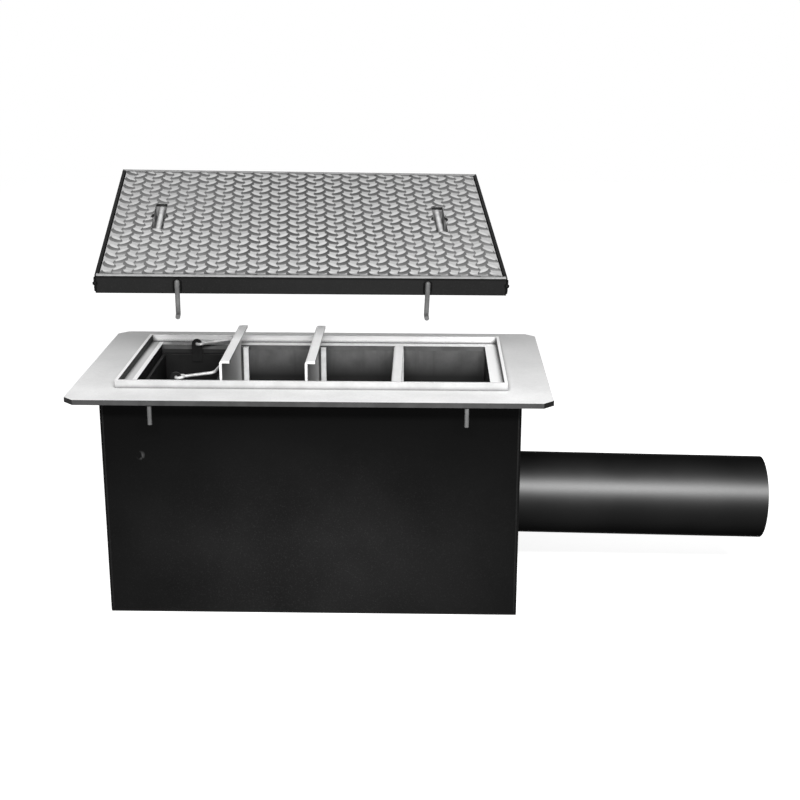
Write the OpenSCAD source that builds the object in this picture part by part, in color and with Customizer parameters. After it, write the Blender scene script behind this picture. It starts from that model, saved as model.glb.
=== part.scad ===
// Petrol interceptor: a welded steel tank with lift-out baffles and a sludge bucket,
// and the tread plate cover in its frame held tilted above it.
// Millimetres. X runs along the tank towards the outlet, Y to the back, Z up.
// The origin is the middle of the tank's underside.

/* [Tank] */
// Length of the tank over its end plates
tank_l = 806; // [700:1:900]
// Width of the tank over its long walls
tank_w = 416; // [390:1:460]
// Height of the tank up to the underside of the top plate
tank_h = 450; // [440:1:520]
// Thickness of the tank's plate
wall_t = 5; // [3:0.5:8]
// Outer radius of the folds along the bottom edges
bend_r = 10; // [9:1:16]

/* [Top plate] */
// How far the top plate stands out past the tank all round
overhang = 57; // [30:1:80]
// Thickness of the top plate
plate_t = 10; // [6:1:14]
// Cut taken off each corner of the top plate
corner_cut = 20; // [10:1:40]
// How far the opening's edges lie in from the tank's outer faces
mouth_inset = 57; // [50:1:62]
// Depth of the collar that hangs below the opening
collar_h = 70; // [30:1:80]
// Thickness of the collar
collar_t = 5; // [3:0.5:6]
// Ledge left between the opening and the ring around it
ledge_w = 25; // [15:1:32]
// Height of the ring that stands on the top plate
ring_h = 15; // [10:1:30]
// Thickness of the ring
ring_t = 6; // [4:1:10]

/* [Ground rods] */
// Diameter of the rods welded under the top plate
rod_d = 8; // [6:1:12]
// Length of those rods
rod_l = 39; // [20:1:80]
// Distance from the top plate's ends to the rods
rod_end = 163; // [90:1:260]
// Distance from the top plate's long edge to the rods' centres
rod_edge = 7; // [6:1:20]

/* [Baffles] */
// Distance from the opening's left edge to the first baffle
first_gap = 166; // [160:1:180]
// Distance from the third baffle to the opening's right edge
last_gap = 194; // [186:1:220]
// Thickness of a baffle's plate
baffle_t = 5; // [3:0.5:6]
// Width of a baffle's folded top
lip_w = 20; // [14:1:26]
// Clearance between a baffle's end and the back of its guide
end_play = 2; // [0.5:0.5:4]
// Height of the way left under a seated baffle
underflow = 90; // [60:1:140]
// How far the first two baffles are drawn up
drawn_up = 43; // [0:1:150]

/* [Guides] */
// Width of each leg of a guide channel
guide_leg = 11; // [6:1:14]
// Depth of a guide channel
guide_d = 13; // [8:1:16]
// Thickness of a guide channel's back
guide_back = 3; // [2:0.5:4]
// Clearance between a baffle and the left leg of its guide
guide_play = 0.5; // [0.5:0.5:2]
// Clearance between a baffle and the right leg of its guide
guide_slack = 5; // [1:0.5:6]
// How far below the tank's top edge the guides' left legs end
guide_drop = 75; // [50:1:120]
// How far the guides' right legs, which the baffles' folds rest on, stand above the tank's top edge
guide_rise = 7; // [0:1:9]

/* [Sludge bucket] */
// Height of the bucket
bucket_h = 220; // [180:1:260]
// Thickness of the bucket's sheet
bucket_t = 2; // [1.5:0.5:3]
// Clearance between the bucket's rim and the first guides
side_play = 1.5; // [1:0.5:4]
// Clearance between the bucket's rim and the collar
rim_play = 4; // [2:0.5:6]
// Clearance between the bucket's end walls and the bars that carry its rim
bearer_play = 9; // [7:1:14]
// Width of the rim on the bucket's long sides
rim_side = 4; // [3:0.5:4]
// Thickness of the rim
rim_t = 3; // [2:0.5:5]
// Drop from the top plate's face to the top of the rim
rim_drop = 17; // [12:1:40]
// Width and height of the bars that carry the rim
bearer_s = 8; // [5:1:12]
// Length of the bars that carry the rim
bearer_l = 120; // [60:1:140]
// Diameter of the drain holes in the bucket's floor
drain_d = 8; // [6:1:20]

/* [Bail] */
// Diameter of the bail's rod
bail_d = 6; // [4:0.5:6]
// Angle at which the bail leans over against the first baffle, from level
lean_angle = 7.9; // [6:0.1:40]
// Radius of the crosspiece's bow
bow_r = 900; // [600:10:2000]
// Radius of the bail's corners, to the middle of the rod
bail_bend = 10; // [6:1:20]
// Radius of the eyes at the arms' ends, to the middle of the rod
eye_r = 8; // [7.5:0.5:9]
// Diameter of the rod in the eyes, where the weld thickens it
eye_d = 6.6; // [6.6:0.1:7.2]
// Height of the bail's pivots above the bucket's rim
bail_rise = 24; // [14:1:34]
// Clearance between the bail and the first baffle where it leans
bail_lean = 0.3; // [0.3:0.1:2]
// Clearance round a pivot in its ear
pivot_play = 0.7; // [0.4:0.1:1]
// Width of an ear
ear_w = 22; // [18:1:23]
// Thickness of an ear
ear_t = 3; // [2:0.5:5]
// Length of an ear below the rim, on the bucket's wall
ear_lap = 15; // [8:1:40]

/* [Pipes] */
// Outer diameter of the outlet pipe
outlet_d = 168.3; // [140:0.1:175]
// Wall thickness of the outlet pipe
outlet_t = 6; // [4:0.5:8]
// Height of the outlet's centre line above the base
outlet_z = 188.5; // [160:0.5:190]
// Length of the outlet pipe outside the tank
outlet_l = 514; // [200:1:700]
// Fall of the outlet pipe, in degrees
outlet_fall = 0.8; // [0:0.1:2]
// Radius of the centre line of the bend inside the tank
elbow_r = 90; // [88:1:96]
// Straight length that stands on the bend
elbow_rise = 8; // [6:1:20]
// How far the outlet pipe's end stands off the end plate, inside its weld
outlet_gap = 2; // [1.5:0.5:4]
// How much smaller in radius the bend's tube is than the outlet pipe
outlet_step = 1.2; // [0.8:0.1:1.6]
// Outer diameter of the inlet spigot
inlet_d = 114.3; // [80:0.1:120]
// Wall thickness of the inlet spigot
inlet_t = 4.5; // [3:0.5:6]
// Step down of the spigot's outside where it goes through the wall
inlet_step = 1.2; // [0.8:0.1:1.6]
// Depth of the inlet's centre line below the tank's top edge
inlet_drop = 132; // [130:1:152]
// Length of the inlet spigot outside the tank
inlet_l = 60; // [30:1:200]
// Clearance round a pipe where it goes through a wall
pipe_play = 0.5; // [0.2:0.1:1]
// Clearance round the inlet where it faces the bucket
bucket_gap = 8; // [4:1:12]

/* [Cover] */
// Length of the cover's frame
cover_l = 750; // [700:1:800]
// Width of the cover's frame
cover_w = 510; // [460:1:560]
// Height of the cover's frame
cover_h = 36; // [30:1:60]
// Thickness of the cover's frame
cover_bar = 6; // [4:1:10]
// Clearance round the tread plate in its frame
cover_play = 2; // [1:0.5:4]
// Thickness of the tread plate
tread_t = 6; // [4:0.5:8]
// Height of the lozenges on the tread plate
tread_h = 1.5; // [1:0.25:3]
// Spacing of like lozenges along and across
tread_pitch = 37.2; // [30:0.1:50]
// Length of a lozenge
tread_l = 29; // [20:0.5:32]
// Width of a lozenge
tread_w = 8.5; // [5:0.5:10]
// Plain margin along the tread plate's edges
tread_margin = 3; // [2:1:20]
// Width of the seat bars in the frame
seat_w = 15; // [10:1:25]
// Thickness of the seat bars in the frame
seat_t = 6; // [4:1:10]
// Height of the stiffeners under the tread plate
rib_h = 26; // [15:1:28]
// Distance of the stiffeners from the cover's centre line
rib_y = 85; // [70:1:120]

/* [Cover's lifting bars] */
// Distance from the middle of the cover to a lifting bar
grip_x = 277; // [200:1:310]
// How far both slots lie over to the left
grip_left = 3; // [0:1:10]
// How far both slots lie behind the middle of the plate
grip_back = 14; // [0:1:20]
// Length of the slot
grip_l = 125; // [100:1:134]
// Width of the slot
grip_w = 23; // [18:1:30]
// Diameter of the finger hole at the slot's middle
finger_d = 34; // [30:1:40]
// Diameter of the lifting bar
grip_d = 10; // [8:1:14]
// Depth of the pocket under the slot
pocket_h = 26; // [20:1:29]
// Thickness of the pocket's sheet
pocket_t = 2.5; // [1.5:0.5:4]

/* [Cover's anchors] */
// Diameter of the rods on the frame
anchor_d = 9; // [6:1:12]
// Distance from the middle of the cover to an anchor
anchor_x = 228; // [150:1:300]
// Drop from the frame's top edge to the start of an anchor
anchor_top = 11; // [6:1:16]
// Length of an anchor below the frame
anchor_l = 44; // [20:1:100]
// Length of an anchor's bent foot
anchor_foot = 13; // [6:1:40]

/* [Cover's place] */
// Distance of the cover's front top edge from the tank's centre line
hold_y = -253.1; // [-320:0.1:-200]
// Height of the cover's front top edge above the base
hold_z = 694.4; // [680:0.1:760]
// Shift of the cover along the tank
hold_x = -4.2; // [-20:0.1:20]
// Tilt of the cover towards the front
hold_tilt = 14.1; // [10:0.1:30]
// Roll of the cover to the right
hold_roll = 1.2; // [-2:0.1:2]
// Turn of the cover seen from above
hold_turn = 5.4; // [-6:0.1:6]

/* [Hidden] */
$fn = 48;
eps = 1;

open_l = tank_l - 2 * mouth_inset;
open_w = tank_w - 2 * mouth_inset;
plate_l = tank_l + 2 * overhang;
plate_w = tank_w + 2 * overhang;
top_z = tank_h + plate_t;
inner_l = tank_l - 2 * wall_t;
inner_w = tank_w - 2 * wall_t;
ring_l = open_l + 2 * (ledge_w + ring_t);
ring_w = open_w + 2 * (ledge_w + ring_t);
rod_x = plate_l / 2 - rod_end;
first_x = first_gap - open_l / 2;
baffle_pitch = (open_l - first_gap - last_gap) / 2;
slot_w = guide_play + baffle_t + guide_slack;
guide_w = slot_w + 2 * guide_leg;
baffle_l = open_w - 2 * (guide_back + end_play);
baffle_h = tank_h + guide_rise - wall_t - underflow + baffle_t;
bucket_right = first_x - guide_play - guide_leg - side_play - rim_side;
bucket_l = bucket_right + open_l / 2 - rim_play - rim_side;
bucket_x = bucket_right - bucket_l / 2;
bucket_w = open_w - 2 * (bearer_s + bearer_play);
rim_w = bearer_s + bearer_play - rim_play;
rim_z = top_z - rim_drop;
bucket_z = rim_z - bucket_h;
inlet_z = tank_h - inlet_drop;
bend_d = outlet_d - 2 * outlet_step;
pivot_z = rim_z + bail_rise;
pivot_y = bucket_w / 2 - bucket_t - ear_t / 2;
lean_x = first_x - bail_lean - bail_d / 2;
bail_reach = (lean_x - bucket_x) / cos(lean_angle);
elbow_in = wall_t;
frame_in_l = cover_l - 2 * cover_bar;
frame_in_w = cover_w - 2 * cover_bar;
tread_l_all = frame_in_l - 2 * cover_play;
tread_w_all = frame_in_w - 2 * cover_play;

black = [0.09, 0.09, 0.095];
bright = [0.72, 0.72, 0.72];
grey = [0.55, 0.55, 0.55];
dark = [0.16, 0.16, 0.16];

// A profile drawn in Y and Z, drawn out along X from x0
module along_x(x0, length) {
    translate([x0, 0, 0]) rotate([90, 0, 90]) linear_extrude(length) children();
}

// A profile drawn in X and Z, drawn out along Y and centred on the tank
module along_y(length) {
    translate([0, length / 2, 0]) rotate([90, 0, 0]) linear_extrude(length) children();
}

// A rectangular hoop of bar standing on z0: inner size, bar thickness and height
module hoop(in_l, in_w, bar, height, z0) {
    translate([0, 0, z0]) linear_extrude(height) difference() {
        square([in_l + 2 * bar, in_w + 2 * bar], center = true);
        square([in_l, in_w], center = true);
    }
}

// Sets a piece on the inlet's centre line, with its foot at y and pointing to the front
module at_inlet(y) {
    translate([bucket_x, y, inlet_z]) rotate([90, 0, 0]) children();
}

// The tank's cross-section with its rounded bottom edges, moved in by inset
module trough_section(inset) {
    half = tank_w / 2 - inset;
    r = bend_r - inset;
    translate([-half, bend_r]) square([2 * half, tank_h - bend_r]);
    translate([-half + r, inset]) square([2 * (half - r), bend_r - inset]);
    for (side = [-1, 1]) translate([side * (half - r), bend_r]) circle(r = r);
}

// One sheet folded up into the front wall, the floor and the back wall
module tank_trough() {
    color(black) difference() {
        along_x(-inner_l / 2, inner_l) trough_section(0);
        along_x(-inner_l / 2 - eps, inner_l + 2 * eps) union() {
            trough_section(wall_t);
            translate([-inner_w / 2, tank_h - eps]) square([inner_w, 2 * eps]);
        }
        at_inlet(tank_w / 2 + eps)
            cylinder(r = inlet_d / 2 - inlet_step + pipe_play, h = wall_t + 2 * eps);
    }
}

// The plate that closes the left end
module left_end_plate() {
    color(black) along_x(-tank_l / 2, wall_t) trough_section(0);
}

// The plate that closes the right end, with the hole for the outlet
module right_end_plate() {
    color(black) difference() {
        along_x(inner_l / 2, wall_t) trough_section(0);
        translate([inner_l / 2 - eps, 0, outlet_z]) rotate([0, 90, 0])
            cylinder(r = bend_d / 2 + pipe_play, h = wall_t + 2 * eps);
    }
}

// The flat plate round the mouth, with cut corners
module top_plate() {
    a = plate_l / 2;
    b = plate_w / 2;
    c = corner_cut;
    color(bright) translate([0, 0, tank_h]) linear_extrude(plate_t) difference() {
        polygon([[-a + c, -b], [a - c, -b], [a, -b + c], [a, b - c],
                 [a - c, b], [-a + c, b], [-a, b - c], [-a, -b + c]]);
        square([open_l, open_w], center = true);
    }
}

// The flat bars welded on edge round the ledge
module cover_ring() {
    color(bright) hoop(ring_l - 2 * ring_t, ring_w - 2 * ring_t, ring_t, ring_h, top_z);
}

// The collar that lines the opening below the top plate
module opening_collar() {
    color(grey) hoop(open_l, open_w, collar_t, collar_h, tank_h - collar_h);
}

// Short rods under the top plate that hold it in the concrete
module ground_rods() {
    color(bright) for (sx = [-1, 1], sy = [-1, 1])
        translate([sx * rod_x, sy * (plate_w / 2 - rod_edge), tank_h - rod_l])
            cylinder(d = rod_d, h = rod_l);
}

// The fixed parts of a partition, between the opening's edge and the tank's walls
module wings(index) {
    x = first_x + index * baffle_pitch;
    a = open_w / 2;
    b = inner_w / 2;
    r = bend_r - wall_t + 1;
    color(dark) for (side = [0, 1]) mirror([0, side, 0]) along_x(x, baffle_t)
        polygon([[a, wall_t], [b - r, wall_t], [b, wall_t + r], [b, tank_h],
                 [a + collar_t, tank_h], [a + collar_t, tank_h - collar_h],
                 [a, tank_h - collar_h]]);
}

// The pair of upright channels that a baffle slides in; their left legs end lower, so
// that fingers get under the baffle's fold
module guides(index) {
    x = first_x + index * baffle_pitch - guide_play - guide_leg;
    color(bright) for (side = [0, 1]) mirror([0, side, 0])
        translate([x, open_w / 2 - guide_d, wall_t]) difference() {
            linear_extrude(tank_h - wall_t + guide_rise) difference() {
                square([guide_w, guide_d]);
                translate([guide_leg, -eps]) square([slot_w, guide_d - guide_back + eps]);
            }
            translate([-eps, -eps, tank_h - wall_t - guide_drop])
                cube([guide_leg + eps, guide_d + 2 * eps, guide_drop + guide_rise + eps]);
        }
}

// A baffle plate with its top folded over to the right, raised above its seat by lift
module baffle(index, lift) {
    x = first_x + index * baffle_pitch;
    r = baffle_t + 1;
    top = tank_h + guide_rise + baffle_t + lift;
    color(bright) translate([x, 0, top]) along_y(baffle_l) difference() {
        union() {
            translate([0, -baffle_h]) square([baffle_t, baffle_h - r]);
            translate([r, -baffle_t]) square([lip_w - r, baffle_t]);
            difference() {
                translate([r, -r]) circle(r = r);
                translate([r, -r]) circle(r = r - baffle_t);
                translate([r, -2 * r - eps]) square([r + eps, 3 * r]);
                translate([-eps, -2 * r - eps]) square([2 * r, r + eps]);
            }
        }
    }
}

module first_wings() wings(0);
module second_wings() wings(1);
module third_wings() wings(2);
module first_guides() guides(0);
module second_guides() guides(1);
module third_guides() guides(2);
module first_baffle() baffle(0, drawn_up);
module second_baffle() baffle(1, drawn_up);
module third_baffle() baffle(2, 0);

// Bars on the collar that carry the bucket's rim
module bucket_bearers() {
    color(dark) for (side = [0, 1]) mirror([0, side, 0])
        translate([bucket_x - bearer_l / 2, open_w / 2 - bearer_s, rim_z - rim_t - bearer_s])
            cube([bearer_l, bearer_s, bearer_s]);
}

// The box that catches the sludge, with its inlet hole and drain holes
module sludge_bucket() {
    in_l = bucket_l - 2 * bucket_t;
    in_w = bucket_w - 2 * bucket_t;
    color(dark) translate([bucket_x, 0, 0]) difference() {
        translate([-bucket_l / 2, -bucket_w / 2, bucket_z])
            cube([bucket_l, bucket_w, bucket_h]);
        translate([-in_l / 2, -in_w / 2, bucket_z + bucket_t])
            cube([in_l, in_w, bucket_h]);
        translate([-bucket_x, 0, 0]) at_inlet(bucket_w / 2 + eps)
            cylinder(r = inlet_d / 2 + bucket_gap, h = bucket_t + 2 * eps);
        for (ix = [-1 : 1], iy = [-2 : 2])
            translate([ix * bucket_l / 4, iy * bucket_w / 6, bucket_z - eps])
                cylinder(d = drain_d, h = bucket_t + 2 * eps, $fn = 24);
    }
}

// The flat bars welded round the bucket's top, which lie on the bearers
module bucket_rim() {
    color(dark) translate([bucket_x, 0, rim_z - rim_t]) difference() {
        translate([-bucket_l / 2 - rim_side, -bucket_w / 2 - rim_w, 0])
            cube([bucket_l + 2 * rim_side, bucket_w + 2 * rim_w, rim_t]);
        translate([-bucket_l / 2, -bucket_w / 2, -eps])
            cube([bucket_l, bucket_w, rim_t + 2 * eps]);
    }
}

// The lugs inside the bucket's end walls that the bail turns in
module bucket_ears() {
    color(dark) for (side = [0, 1]) mirror([0, side, 0])
        translate([bucket_x, bucket_w / 2 - bucket_t, 0]) rotate([90, 0, 0])
            difference() {
                union() {
                    translate([-ear_w / 2, rim_z - ear_lap])
                        cube([ear_w, pivot_z - rim_z + ear_lap, ear_t]);
                    translate([0, pivot_z, 0]) cylinder(d = ear_w, h = ear_t);
                }
                translate([0, pivot_z, -eps])
                    cylinder(r = eye_d / 2 + pivot_play, h = ear_t + 2 * eps, $fn = 32);
            }
}

// The bucket's bent rod handle, with an eye through each ear, lying over to the
// right against the first baffle; its crosspiece is bowed and its corners are round
module bucket_bail() {
    centre_y = pivot_y - bail_bend;
    bend_x = bail_reach - bow_r + sqrt(pow(bow_r - bail_bend, 2) - pow(centre_y, 2));
    half_bow = asin(centre_y / (bow_r - bail_bend));
    color(bright) translate([bucket_x, 0, pivot_z]) rotate([0, -lean_angle, 0]) {
        for (side = [0, 1]) mirror([0, side, 0]) {
            translate([eye_r, pivot_y, 0]) rotate_extrude()
                translate([eye_r, 0]) circle(d = eye_d, $fn = 32);
            translate([2 * eye_r, pivot_y, 0]) rotate([0, 90, 0])
                cylinder(d = bail_d, h = bend_x - 2 * eye_r, $fn = 32);
            translate([bend_x, centre_y, 0]) rotate([0, 0, half_bow])
                rotate_extrude(angle = 90 - half_bow, $fn = 96)
                    translate([bail_bend, 0]) circle(d = bail_d, $fn = 32);
        }
        translate([bail_reach - bow_r, 0, 0]) rotate([0, 0, -half_bow])
            rotate_extrude(angle = 2 * half_bow, $fn = 360)
                translate([bow_r, 0]) circle(d = bail_d, $fn = 32);
    }
}

// Sets a piece at the outlet's hole, tipped down by the pipe's fall
module at_outlet() {
    translate([inner_l / 2, 0, outlet_z]) rotate([0, outlet_fall, 0]) children();
}

// The pipe welded into the right end plate
module outlet_pipe() {
    length = outlet_l - outlet_gap;
    color(black) at_outlet() translate([wall_t + outlet_gap, 0, 0]) rotate([0, 90, 0]) difference() {
        cylinder(d = outlet_d, h = length, $fn = 72);
        translate([0, 0, -eps])
            cylinder(d = outlet_d - 2 * outlet_t, h = length + 2 * eps, $fn = 72);
    }
}

// A length of the bend's tube that stands on its foot
module bend_tube(length) {
    difference() {
        cylinder(d = bend_d, h = length);
        translate([0, 0, -eps]) cylinder(d = bend_d - 2 * outlet_t, h = length + 2 * eps);
    }
}

// The bend inside the tank that sets the level of the liquid; its end goes through
// the end plate as far as the pipe
module outlet_bend() {
    color(dark) at_outlet() translate([-elbow_in, 0, 0]) {
        translate([0, 0, elbow_r]) rotate([90, 0, 0]) rotate([0, 0, 180])
            rotate_extrude(angle = 90, $fn = 72) translate([elbow_r, 0]) difference() {
                circle(d = bend_d);
                circle(d = bend_d - 2 * outlet_t);
            }
        translate([-elbow_r, 0, elbow_r]) bend_tube(elbow_rise);
        rotate([0, 90, 0]) bend_tube(elbow_in + wall_t + outlet_gap);
    }
}

// The spigot that feeds the bucket; it is seated on the back wall's outer face and
// steps down to go through
module inlet_spigot() {
    y0 = bucket_w / 2 + rim_w;
    y1 = tank_w / 2 + inlet_l;
    color(black) at_inlet(y1) difference() {
        union() {
            cylinder(d = inlet_d, h = inlet_l);
            translate([0, 0, inlet_l - eps])
                cylinder(d = inlet_d - 2 * inlet_step, h = y1 - y0 - inlet_l + eps);
        }
        translate([0, 0, -eps]) cylinder(d = inlet_d - 2 * inlet_t, h = y1 - y0 + 2 * eps);
    }
}

// Puts a piece of the cover, drawn flat with its top edge at zero and its
// front at zero, where the cover is held
module held() {
    translate([hold_x, hold_y, hold_z]) rotate([hold_tilt, hold_roll, hold_turn])
        translate([0, cover_w / 2, 0]) children();
}

// The bars on edge that make the cover's frame
module cover_frame() {
    color(black) held() hoop(frame_in_l, frame_in_w, cover_bar, cover_h, -cover_h);
}

// The flat bars inside the frame that the tread plate lies on
module cover_seat() {
    z = -tread_h - tread_t - seat_t;
    color(dark) held() hoop(frame_in_l - 2 * seat_w, frame_in_w - 2 * seat_w, seat_w, seat_t, z);
}

// The outline of a slot with its round finger hole
module slot_outline(grow) {
    square([grip_w + 2 * grow, grip_l + 2 * grow], center = true);
    circle(d = finger_d + 2 * grow);
}

// One lozenge of the tread
module lozenge(angle) {
    rotate(angle) polygon([[-tread_l / 2, 0], [0, -tread_w / 2], [tread_l / 2, 0], [0, tread_w / 2]]);
}

// All lozenges whose centres lie on the plate and clear of the slots
module tread_pattern() {
    half_l = tread_l_all / 2 - tread_margin;
    half_w = tread_w_all / 2 - tread_margin;
    reach = tread_l * 0.36;
    step = tread_pitch / 2;
    nx = floor((half_l - reach) / step);
    ny = floor((half_w - reach) / step);
    for (ix = [-nx : nx], iy = [-ny : ny]) if ((ix + iy) % 2 == 0) {
        x = ix * step;
        y = iy * step;
        off_x = abs(abs(x + grip_left) - grip_x);
        off_y = abs(y - grip_back);
        near_slot = off_x < grip_w / 2 + reach + 1 && off_y < grip_l / 2 + reach + 1;
        near_hole = off_x < finger_d / 2 + reach && off_y < finger_d / 2 + reach;
        if (!near_slot && !near_hole)
            translate([x, y]) lozenge(ix % 2 == 0 ? 45 : -45);
    }
}

// The chequered plate that closes the cover, with its two slots
module tread_plate() {
    color(grey) held() difference() {
        union() {
            translate([-tread_l_all / 2, -tread_w_all / 2, -tread_h - tread_t])
                cube([tread_l_all, tread_w_all, tread_t]);
            translate([0, 0, -tread_h - tread_t / 2]) linear_extrude(tread_h + tread_t / 2)
                tread_pattern();
        }
        for (side = [-1, 1]) translate([side * grip_x - grip_left, grip_back, -tread_h - tread_t - eps])
            linear_extrude(tread_t + tread_h + 2 * eps) slot_outline(0);
    }
}

// The flat bars on edge that stiffen the tread plate
module cover_ribs() {
    length = frame_in_l - 2 * seat_w - 2 * cover_play;
    color(dark) held() for (side = [-1, 1])
        translate([-length / 2, side * rib_y - cover_bar / 2, -tread_h - tread_t - rib_h])
            cube([length, cover_bar, rib_h]);
}

// The closed pocket under a slot
module pocket(side) {
    color(dark) held() translate([side * grip_x - grip_left, grip_back, -tread_h - tread_t - pocket_h]) difference() {
        linear_extrude(pocket_h) slot_outline(pocket_t);
        translate([0, 0, pocket_t]) linear_extrude(pocket_h) slot_outline(0);
    }
}

// A lifting bar across the length of a slot, just below the tread
module lifting_bar(side) {
    color(bright) held() translate([side * grip_x - grip_left, grip_back, -tread_h - tread_t - grip_d / 2])
        rotate([90, 0, 0]) cylinder(d = grip_d, h = grip_l, center = true, $fn = 32);
}

module left_pocket() pocket(-1);
module right_pocket() pocket(1);
module left_lifting_bar() lifting_bar(-1);
module right_lifting_bar() lifting_bar(1);

// The bent rods on the frame's long sides that hold it in the floor
module cover_anchors() {
    drop = cover_h + anchor_l - anchor_d / 2 - anchor_top;
    color(bright) held() for (sx = [-1, 1], sy = [0, 1]) mirror([0, sy, 0])
        translate([sx * anchor_x, -cover_w / 2 - anchor_d / 2, -anchor_top]) {
            sphere(d = anchor_d, $fn = 32);
            translate([0, 0, -drop]) cylinder(d = anchor_d, h = drop, $fn = 32);
            translate([0, 0, -drop]) sphere(d = anchor_d, $fn = 32);
            translate([0, 0, -drop]) rotate([90, 0, 0])
                cylinder(d = anchor_d, h = anchor_foot, $fn = 32);
        }
}

tank_trough();
left_end_plate();
right_end_plate();
top_plate();
cover_ring();
opening_collar();
ground_rods();
first_wings();
second_wings();
third_wings();
first_guides();
second_guides();
third_guides();
first_baffle();
second_baffle();
third_baffle();
bucket_bearers();
sludge_bucket();
bucket_rim();
bucket_ears();
bucket_bail();
outlet_pipe();
outlet_bend();
inlet_spigot();
cover_frame();
cover_seat();
tread_plate();
cover_ribs();
left_pocket();
right_pocket();
left_lifting_bar();
right_lifting_bar();
cover_anchors();
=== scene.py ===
"""Dresses a petrol interceptor: its finishes, its welds and the lugs of its tread plate."""

import math

import bpy
import numpy as np
from mathutils import Matrix, Vector


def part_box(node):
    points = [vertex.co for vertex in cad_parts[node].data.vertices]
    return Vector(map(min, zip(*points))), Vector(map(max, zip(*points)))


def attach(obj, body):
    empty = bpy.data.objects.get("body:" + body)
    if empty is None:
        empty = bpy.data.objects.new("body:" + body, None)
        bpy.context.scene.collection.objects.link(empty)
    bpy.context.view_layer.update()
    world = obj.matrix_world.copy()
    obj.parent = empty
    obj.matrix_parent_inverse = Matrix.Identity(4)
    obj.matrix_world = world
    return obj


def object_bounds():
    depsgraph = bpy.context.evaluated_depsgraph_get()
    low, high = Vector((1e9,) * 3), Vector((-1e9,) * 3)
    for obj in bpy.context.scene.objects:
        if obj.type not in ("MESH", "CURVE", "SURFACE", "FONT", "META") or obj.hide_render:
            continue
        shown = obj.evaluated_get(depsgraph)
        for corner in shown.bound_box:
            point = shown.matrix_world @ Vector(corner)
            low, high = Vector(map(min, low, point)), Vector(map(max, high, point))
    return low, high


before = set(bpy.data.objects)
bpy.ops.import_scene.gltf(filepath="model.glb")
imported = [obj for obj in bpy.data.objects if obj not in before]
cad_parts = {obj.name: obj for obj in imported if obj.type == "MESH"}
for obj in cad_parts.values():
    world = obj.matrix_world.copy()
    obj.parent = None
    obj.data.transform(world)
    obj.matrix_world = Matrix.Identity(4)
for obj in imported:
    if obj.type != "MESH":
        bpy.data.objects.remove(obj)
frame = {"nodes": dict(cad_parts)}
nodes = frame["nodes"]
cad_box = [list(corner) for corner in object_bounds()]

bl_info = {
    "name": "Petrol interceptor",
    "version": (1, 0, 0),
    "blender": (4, 5, 0),
    "location": "3D View > Sidebar > Interceptor",
    "description": "Finishes, welds and tread lugs of a petrol interceptor",
    "category": "Object",
}

SLOTS = {
    "black paint": ["tank_trough", "left_end_plate", "right_end_plate", "inlet_spigot"],
    "pipe paint": ["outlet_pipe"],
    "frame paint": ["cover_frame"],
    "zinc plate": ["top_plate"],
    "ring zinc": ["cover_ring"],
    "baffle zinc": ["first_baffle", "second_baffle", "third_baffle"],
    "guide zinc": ["first_guides", "second_guides", "third_guides"],
    "inside paint": ["opening_collar", "first_wings", "second_wings", "third_wings",
                     "outlet_bend"],
    "bucket steel": ["sludge_bucket", "bucket_rim", "bucket_ears", "bucket_bearers",
                     "cover_seat", "cover_ribs"],
    "pocket steel": ["left_pocket", "right_pocket"],
    "tread steel": ["tread_plate"],
    "bright rod": ["bucket_bail", "left_lifting_bar", "right_lifting_bar"],
    "dull rod": ["ground_rods", "cover_anchors"],
}
COVER = ("cover_frame", "cover_seat", "tread_plate", "cover_ribs", "left_pocket",
         "right_pocket")
BAR = 0.006  # thickness of the flat bars of the ring and of the cover's frame
FADE = 0.0006  # width in which the worn top of the cover's frame ends
SCUFF = (-0.328, -0.208, 0.332)  # the small scratches on the tank's front
SINK = 0.0004  # how far a lug reaches down into the plate
SKIN = 0.00003  # how far the dirt and painted shadow round a lug stands above the plate
CLEAR = 0.0003  # room between a slot's edge and the lugs cut off there
CAMERA_PLACE = (0.21728, -2.75917, 1.21715)
CAMERA_TURN = (-1.03, 16.78, 0.16)  # degrees to the right, down and over to one side


# Settings

def length_prop(name, description, default):
    """A size in metres, shown in the unit of the scene."""
    return bpy.props.FloatProperty(name=name, description=description, default=default,
                                   min=0.0, unit="LENGTH", precision=4)


def grey_prop(name, description, default):
    """A colour that is the same grey in all channels unless the user changes it."""
    return bpy.props.FloatVectorProperty(name=name, description=description, size=3,
                                         subtype="COLOR", min=0.0, max=1.0,
                                         default=(default, default, default))


class InterceptorTread(bpy.types.PropertyGroup):
    """Sizes of the lugs on the tread plate."""
    pitch: length_prop("Pitch", "Spacing of like lugs along and across", 0.0372)
    length: length_prop("Length", "Length of a lug at its foot", 0.0305)
    width: length_prop("Width", "Width of a lug at its foot", 0.0116)
    flank: length_prop("Flank", "How far a lug's flank leans in", 0.0012)
    skirt: length_prop("Skirt", "Width of the dirt line round a lug", 0.0040)
    drift: length_prop("Drift", "How far the dirt lies over to the front", 0.0052)
    margin: length_prop("Margin", "Plain margin along the plate's edges", 0.0004)
    height: length_prop("Height", "Height of a lug", 0.0019)
    core: length_prop("Core", "Height of the flat lugs that the frame node has", 0.0015)
    slot_width: length_prop("Slot width", "Width of a slot", 0.023)
    slot_length: length_prop("Slot length", "Length of a slot", 0.125)
    finger: length_prop("Finger hole", "Diameter of the finger hole", 0.034)


class InterceptorWelds(bpy.types.PropertyGroup):
    """Sizes of the weld beads."""
    radius: length_prop("Radius", "Half the width of a weld bead", 0.004)
    ripple: length_prop("Ripple", "Spacing of the ripples along a bead", 0.0028)
    seam: length_prop("Seam", "Half the width of the dressed seams of the tank", 0.0022)


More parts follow.
